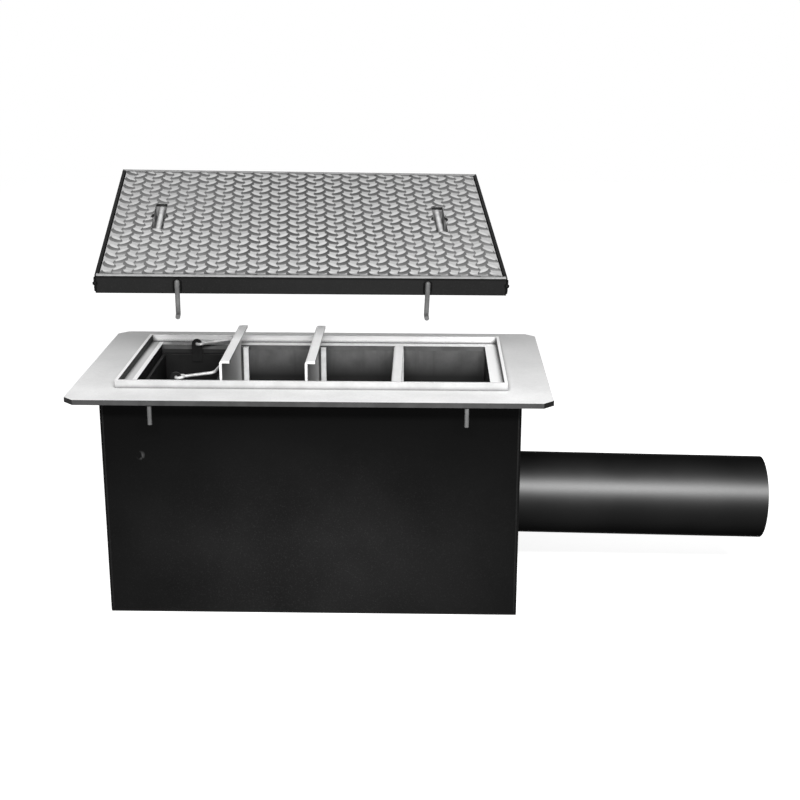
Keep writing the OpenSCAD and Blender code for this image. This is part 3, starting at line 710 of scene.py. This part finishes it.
class OBJECT_OT_interceptor_tread(InterceptorOperator):
    """Raise the rounded lugs over the tread plate's pattern"""
    bl_idname = "object.interceptor_tread"
    bl_label = "Tread lugs"

    def execute(self, context):
        t = context.scene.interceptor_tread
        plate = cover_local("tread_plate")
        half_l, half_w = plate[:, 0].max() - t.margin, plate[:, 1].max() - t.margin
        face = plate[:, 2].max() - t.core
        slots = [self.middle(node) for node in ("left_pocket", "right_pocket")]
        step = t.pitch / 2
        nx, ny = int(half_l / step), int(half_w / step)
        ix, iy = np.meshgrid(np.arange(-nx, nx + 1), np.arange(-ny, ny + 1), indexing="ij")
        ix, iy = ix.ravel(), iy.ravel()
        x, y = ix * step, iy * step
        keep = (ix + iy) % 2 == 0
        for sx, sy in slots:
            keep &= (np.abs(x - sx) > t.slot_width / 2) | (np.abs(y - sy) > t.slot_length / 2)
            keep &= np.hypot(x - sx, y - sy) > t.finger / 2
        x, y = x[keep], y[keep]
        angle = np.where(ix[keep] % 2 == 0, math.pi / 4, -math.pi / 4)
        points, faces, dirt_and_shade = self.lug(t)
        lugs = np.empty((len(x), len(points), 3))
        lugs[..., 0] = (x[:, None] + np.cos(angle)[:, None] * points[:, 0]
                        - np.sin(angle)[:, None] * points[:, 1])
        lugs[..., 1] = (y[:, None] + np.sin(angle)[:, None] * points[:, 0]
                        + np.cos(angle)[:, None] * points[:, 1])
        # Painted shadow: the dark rings at the lug's foot lie over to the front.
        lugs[..., 1] -= t.drift * (points[:, 2] < SKIN * 1.3)
        for slot in slots:
            self.cut(lugs, x, y, slot, t)
        lugs[..., 0] = np.clip(lugs[..., 0], -half_l, half_l)
        lugs[..., 1] = np.clip(lugs[..., 1], -half_w, half_w)
        lugs[..., 2] = face + points[:, 2]
        start = (np.arange(len(x)) * len(points))[:, None]
        every = [(np.array(f)[None, :] + start) for f in faces]
        every = [row for block in every for row in block.tolist()]
        piece = add_piece("tread_lugs", on_cover(lugs.reshape(-1, 3)), every, "tread",
                          marks={"dirt_and_shade": np.tile(dirt_and_shade, len(x))})
        f = context.scene.interceptor_finishes
        piece.data.materials.append(tread("lug steel", scaled(f.tread, 1.25), f.grime_and_shade, True))
        return {"FINISHED"}

    def middle(self, node):
        """The middle of a pocket, and so of its slot, along and across the cover."""
        points = cover_local(node)
        return (points.min(axis=0) + points.max(axis=0))[:2] / 2

    def cut(self, lugs, x, y, slot, t):
        """Cuts the lugs off at a slot: a point inside it moves to the edge on the side of
        its lug's middle, and a point inside the finger hole moves straight out to the rim."""
        half_w, half_l = t.slot_width / 2 + CLEAR, t.slot_length / 2 + CLEAR
        dx, dy = lugs[..., 0] - slot[0], lugs[..., 1] - slot[1]
        inside = (np.abs(dx) < half_w) & (np.abs(dy) < half_l)
        beside = (np.abs(x - slot[0]) >= half_w)[:, None]
        dx = np.where(inside & beside, np.sign(x - slot[0])[:, None] * half_w, dx)
        dy = np.where(inside & ~beside, np.sign(y - slot[1])[:, None] * half_l, dy)
        out = np.maximum(1.0, (t.finger / 2 + CLEAR) / np.maximum(np.hypot(dx, dy), 0.0001))
        lugs[..., 0], lugs[..., 1] = slot[0] + dx * out, slot[1] + dy * out

    def lug(self, t):
        """One lug, as rings of points from its foot to its top. Its outline is a lens:
        along it goes the cosine of the turn, and across it the sine to the power 1.5, so
        that its ends are sharp. Each ring is drawn in by a width, lifted by a height and
        marked with its share of dirt and painted shadow, and the first and the last close in
        a point. The lens's ends are drawn in by more of the width than its flanks, its skirt
        by less."""
        sides = 16
        turn = np.linspace(0, 2 * math.pi, sides, endpoint=False)
        lens_x = np.cos(turn)
        lens_y = np.sin(turn) * np.sqrt(np.abs(np.sin(turn)))
        # The skirt and flank rows carry dirt and painted shadow, the top rows little or none.
        rows = [(-t.skirt, -SINK, 0.85), (-t.skirt, SKIN, 0.85), (0.0, 0.00005, 1.0),
                (t.flank * 0.7, t.height * 0.7, 1.0), (t.flank, t.height * 0.93, 0.3),
                (t.flank * 1.6, t.height * 1.02, 0.0)]
        points, dirt_and_shade = [], []
        for inset, lift, mark in rows:
            at_ends = 1.6 if inset > 0 else 0.6
            points.append(np.stack([(t.length / 2 - inset * at_ends) * lens_x,
                                    (t.width / 2 - inset) * lens_y,
                                    np.full(sides, lift)], axis=1))
            dirt_and_shade += [mark] * sides
        points = np.concatenate(points + [np.array([[0, 0, -SINK], [0, 0, t.height * 1.03]])])
        dirt_and_shade += [0.85, 0.0]
        faces = grid_quads(len(rows), sides).tolist()
        foot, top, last = len(points) - 2, len(points) - 1, (len(rows) - 1) * sides
        for j in range(sides):
            faces.append([foot, (j + 1) % sides, j])
            faces.append([top, last + j, last + (j + 1) % sides])
        return points, faces, np.array(dirt_and_shade)


class OBJECT_OT_interceptor_welds(InterceptorOperator):
    """Lay the weld beads of the tank, its pipes, its rods and the cover's frame"""
    bl_idname = "object.interceptor_welds"
    bl_label = "Welds"

    def execute(self, context):
        w = context.scene.interceptor_welds
        f = context.scene.interceptor_finishes
        tank = self.tank_beads(w) + self.pipe_beads(w) + self.rod_beads(w)
        piece = add_piece("tank_welds", *join(tank), "black_paint")
        piece.data.materials.append(paint("weld paint", scaled(f.black, 0.8), 0.5, 0.05, rub=0.0))
        piece = add_piece("cover_welds", *join(self.cover_beads(w)), "black_paint")
        piece.data.materials.append(paint("cover weld paint", scaled(f.black, 0.3), 0.5, 0.05,
                                          rub=0.0))
        return {"FINISHED"}

    def tank_beads(self, w):
        """Fillets between the tank's walls and the top plate, and the dressed seams of the
        end plates down the corners."""
        lo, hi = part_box("tank_trough")
        left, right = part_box("left_end_plate")[0].x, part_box("right_end_plate")[1].x
        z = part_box("top_plate")[0].z
        r, step = w.radius, w.ripple / 4
        beads = []
        for k, y in enumerate((lo.y, hi.y)):
            path = line((left, y, z), (right, y, z), step)
            beads.append(bead(path, r, (0, 0, 1), w.ripple, seed=k))
        for k, x in enumerate((left, right)):
            path = line((x, lo.y, z), (x, hi.y, z), step)
            beads.append(bead(path, r, (0, 0, 1), w.ripple, seed=4 + k))
        fold = 0.010
        for k, x in enumerate((lo.x, hi.x)):
            for y in (lo.y, hi.y):
                inner = y + 0.7 * w.seam * (1 if y < 0 else -1)
                beads.append(bead(line((x, inner, fold), (x, inner, z - r), step), w.seam,
                                  (1, 0, 0), w.ripple, seed=8 + k))
        return beads

    def pipe_beads(self, w):
        """Ring fillets where the outlet and the inlet pass through the walls."""
        step = w.ripple / 4
        lo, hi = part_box("outlet_pipe")
        x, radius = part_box("right_end_plate")[1].x, (hi.y - lo.y) / 2
        outlet = ring((x, 0, outlet_height(x)), (0, 1, 0), (0, 0, 1), radius, step)
        spigot_lo, spigot_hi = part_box("inlet_spigot")
        y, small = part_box("tank_trough")[1].y, (spigot_hi.x - spigot_lo.x) / 2
        inlet = ring(((spigot_lo.x + spigot_hi.x) / 2, y, (spigot_lo.z + spigot_hi.z) / 2),
                     (1, 0, 0), (0, 0, 1), small, step)
        return [bead(outlet, w.radius * 1.1, (1, 0, 0), w.ripple, True, 20),
                bead(inlet, w.radius, (0, 1, 0), w.ripple, True, 21)]

    def rod_beads(self, w):
        """Small ring fillets at the roots of the ground rods."""
        points = corners("ground_rods")
        z = points[:, 2].max()
        beads = []
        for sx in (-1, 1):
            for sy in (-1, 1):
                own = points[(points[:, 0] * sx > 0) & (points[:, 1] * sy > 0)]
                middle = (own.min(axis=0) + own.max(axis=0)) / 2
                radius = (own[:, 0].max() - own[:, 0].min()) / 2
                path = ring((middle[0], middle[1], z), (1, 0, 0), (0, 1, 0), radius, w.ripple / 4)
                beads.append(bead(path, w.radius * 0.6, (0, 0, 1), w.ripple, True, 30))
        return beads

    def cover_beads(self, w):
        """Short beads on both sides of each anchor's root, and the beads with a proud blob
        that close the frame's upright corners."""
        points = cover_local("cover_anchors")
        edge = cover_local("cover_frame")
        half_l, half_w, low = edge[:, 0].max(), edge[:, 1].max(), edge[:, 2].min()
        beads, inset, nub_top, nub_foot = [], 0.003, -0.012, -0.021

        def upright(x, y, top, bottom, radius, up, seed):
            """A bead straight down the frame, in the cover's own axes."""
            path = line((x, y, top), (x, y, bottom), w.ripple / 4)
            own_points, faces = bead(path, radius, up, w.ripple, seed=seed)
            beads.append((on_cover(own_points), faces))

        for sx in (-1, 1):
            for sy in (-1, 1):
                own = points[(points[:, 0] * sx > 0) & (points[:, 1] * sy > 0)]
                first, last = own[:, 0].min(), own[:, 0].max()
                x, radius = (first + last) / 2, (last - first) / 2
                top, y = own[:, 2].max() - radius, sy * half_w
                for k, side in enumerate((-1, 1)):
                    upright(x + side * radius, y, top + 0.002, low + inset, w.radius * 0.9,
                            (0, sy, 0), 40 + k)
                upright(sx * half_l, y, nub_top, nub_foot, w.radius * 1.15, (sx, 0, 0), 60)
                upright(sx * half_l, y, -inset, low + inset, w.seam, (sx, 0, 0), 50)
        return beads


class OBJECT_OT_interceptor_stage(InterceptorOperator):
    """Set up the camera, the pale floor and the soft lamps"""
    bl_idname = "object.interceptor_stage"
    bl_label = "Stage"

    def execute(self, context):
        s = context.scene.interceptor_stage
        self.camera(context, s)
        self.floor(context, s)
        self.sky(context, s)
        key = self.lamp(context, "key_lamp", (0.4, -2.6, 2.05), (0.45, 0.0, 0.25), (2.2, 0.36),
                        s.key)
        shine = self.lamp(context, "shine_lamp", (1.1, -2.7, 2.10), (0.65, 0.0, 0.2), (1.5, 0.6),
                          s.shine)
        top = self.lamp(context, "top_lamp", (-0.2, -0.7, 3.1), (0.0, 0.0, 0.4), (2.4, 1.6),
                        s.top)
        shine.visible_diffuse = False
        self.past_cover(key)
        self.past_cover(top)
        self.only_on(shine, ("outlet_pipe",))
        context.scene.view_settings.view_transform = "Standard"
        return {"FINISHED"}

    def camera(self, context, s):
        """The camera stands a little to the right of the tank's middle, level but for a sixth
        of a degree, and looks down on it."""
        yaw, pitch, roll = np.radians(CAMERA_TURN)
        ahead = np.array([math.sin(yaw) * math.cos(pitch), math.cos(yaw) * math.cos(pitch),
                          -math.sin(pitch)])
        right = np.array([math.cos(yaw), -math.sin(yaw), 0.0])
        up = np.cross(right, ahead)
        right, up = (math.cos(roll) * right + math.sin(roll) * up,
                     math.cos(roll) * up - math.sin(roll) * right)
        data = bpy.data.cameras.new("camera")
        data.sensor_width = 36.0
        data.lens = s.lens
        data.clip_start, data.clip_end = 0.05, 60.0
        camera = bpy.data.objects.new("camera", data)
        context.scene.collection.objects.link(camera)
        turn = np.eye(4)
        turn[:3, 0], turn[:3, 1], turn[:3, 2] = right, up, -ahead
        turn[:3, 3] = CAMERA_PLACE
        camera.matrix_world = Matrix(turn.tolist())
        context.scene.camera = camera

    def floor(self, context, s):
        """A square sheet under the object. It is plain pale paint in the light, and what the
        camera and mirrors see of it is lifted to white, with the shadow kept."""
        z = cad_box[0][2] - 0.0005
        points = np.array([(-s.floor, -s.floor, z), (s.floor, -s.floor, z),
                           (s.floor, s.floor, z), (-s.floor, s.floor, z)])
        mesh = bpy.data.meshes.new("floor")
        mesh.from_pydata(points.tolist(), [], [[0, 1, 2, 3]])
        floor = bpy.data.objects.new("floor", mesh)
        context.scene.collection.objects.link(floor)
        material = bpy.data.materials.new("floor")
        material.use_nodes = True
        tree = material.node_tree
        tree.nodes.clear()
        output = tree.nodes.new("ShaderNodeOutputMaterial")
        plain = tree.nodes.new("ShaderNodeBsdfDiffuse")
        plain.inputs[0].default_value = (0.85, 0.85, 0.85, 1.0)
        glow = tree.nodes.new("ShaderNodeEmission")
        add = tree.nodes.new("ShaderNodeAddShader")
        tree.links.new(self.seen(tree, 0.88), glow.inputs["Strength"])
        tree.links.new(plain.outputs[0], add.inputs[0])
        tree.links.new(glow.outputs[0], add.inputs[1])
        tree.links.new(add.outputs[0], output.inputs[0])
        mesh.materials.append(material)

    def seen(self, tree, strength, other=0.0):
        """A strength for rays from the camera, mirrors and glass, and another for the rest."""
        path = tree.nodes.new("ShaderNodeLightPath")
        total = path.outputs["Is Camera Ray"]
        for name in ("Is Glossy Ray", "Is Transmission Ray"):
            most = tree.nodes.new("ShaderNodeMath")
            most.operation = "MAXIMUM"
            tree.links.new(total, most.inputs[0])
            tree.links.new(path.outputs[name], most.inputs[1])
            total = most.outputs[0]
        span = tree.nodes.new("ShaderNodeMapRange")
        span.inputs[3].default_value = other
        span.inputs[4].default_value = strength
        tree.links.new(total, span.inputs[0])
        return span.outputs[0]

    def sky(self, context, s):
        """White where it is seen, and a soft even light elsewhere."""
        world = bpy.data.worlds.new("sky")
        world.use_nodes = True
        tree = world.node_tree
        tree.nodes.clear()
        output = tree.nodes.new("ShaderNodeOutputWorld")
        back = tree.nodes.new("ShaderNodeBackground")
        back.inputs["Color"].default_value = (1.0, 1.0, 1.0, 1.0)
        tree.links.new(self.seen(tree, 1.0, s.sky), back.inputs["Strength"])
        tree.links.new(back.outputs[0], output.inputs[0])
        context.scene.world = world

    def lamp(self, context, name, place, target, size, power):
        """A soft rectangular lamp at a place, turned to a target."""
        data = bpy.data.lights.new(name, "AREA")
        data.shape = "RECTANGLE"
        data.size, data.size_y = size
        data.energy = power
        lamp = bpy.data.objects.new(name, data)
        context.scene.collection.objects.link(lamp)
        lamp.location = place
        lamp.rotation_euler = (Vector(target) - Vector(place)).to_track_quat("-Z", "Y").to_euler()
        return lamp

    def past_cover(self, lamp):
        """Keeps the shadow of the raised cover off the tank, as the photograph shows none."""
        cover = bpy.data.collections.new(lamp.name + "_passes")
        for name in COVER:
            cover.objects.link(nodes[name])
        lamp.light_linking.blocker_collection = cover
        for entry in cover.collection_objects:
            entry.light_linking.link_state = "EXCLUDE"

    def only_on(self, lamp, names):
        """Lets a lamp light nothing but the named nodes."""
        lit = bpy.data.collections.new(lamp.name + "_lights")
        for name in names:
            lit.objects.link(nodes[name])
        lamp.light_linking.receiver_collection = lit


class VIEW3D_PT_interceptor(bpy.types.Panel):
    """The steps that dress the interceptor"""
    bl_label = "Petrol interceptor"
    bl_space_type = "VIEW_3D"
    bl_region_type = "UI"
    bl_category = "Interceptor"

    def draw(self, context):
        for group, operator in (("interceptor_finishes", OBJECT_OT_interceptor_finishes),
                                ("interceptor_tread", OBJECT_OT_interceptor_tread),
                                ("interceptor_welds", OBJECT_OT_interceptor_welds),
                                ("interceptor_stage", OBJECT_OT_interceptor_stage)):
            box = self.layout.box()
            settings = getattr(context.scene, group)
            for key in settings.__annotations__:
                box.prop(settings, key)
            box.operator(operator.bl_idname)


GROUPS = {"interceptor_tread": InterceptorTread, "interceptor_welds": InterceptorWelds,
          "interceptor_finishes": InterceptorFinishes, "interceptor_stage": InterceptorStage}
CLASSES = (*GROUPS.values(), OBJECT_OT_interceptor_finishes, OBJECT_OT_interceptor_tread,
           OBJECT_OT_interceptor_welds, OBJECT_OT_interceptor_stage, VIEW3D_PT_interceptor)


def register():
    """Adds the classes and hangs the settings on the scene."""
    for cls in CLASSES:
        bpy.utils.register_class(cls)
    for name, group in GROUPS.items():
        setattr(bpy.types.Scene, name, bpy.props.PointerProperty(type=group))


def unregister():
    """Takes the settings and the classes away again."""
    for name in GROUPS:
        delattr(bpy.types.Scene, name)
    for cls in reversed(CLASSES):
        bpy.utils.unregister_class(cls)


def main():
    """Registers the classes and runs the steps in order."""
    register()
    bpy.ops.object.interceptor_stage()
    bpy.ops.object.interceptor_finishes()
    bpy.ops.object.interceptor_tread()
    bpy.ops.object.interceptor_welds()


if __name__ == "__main__":
    main()
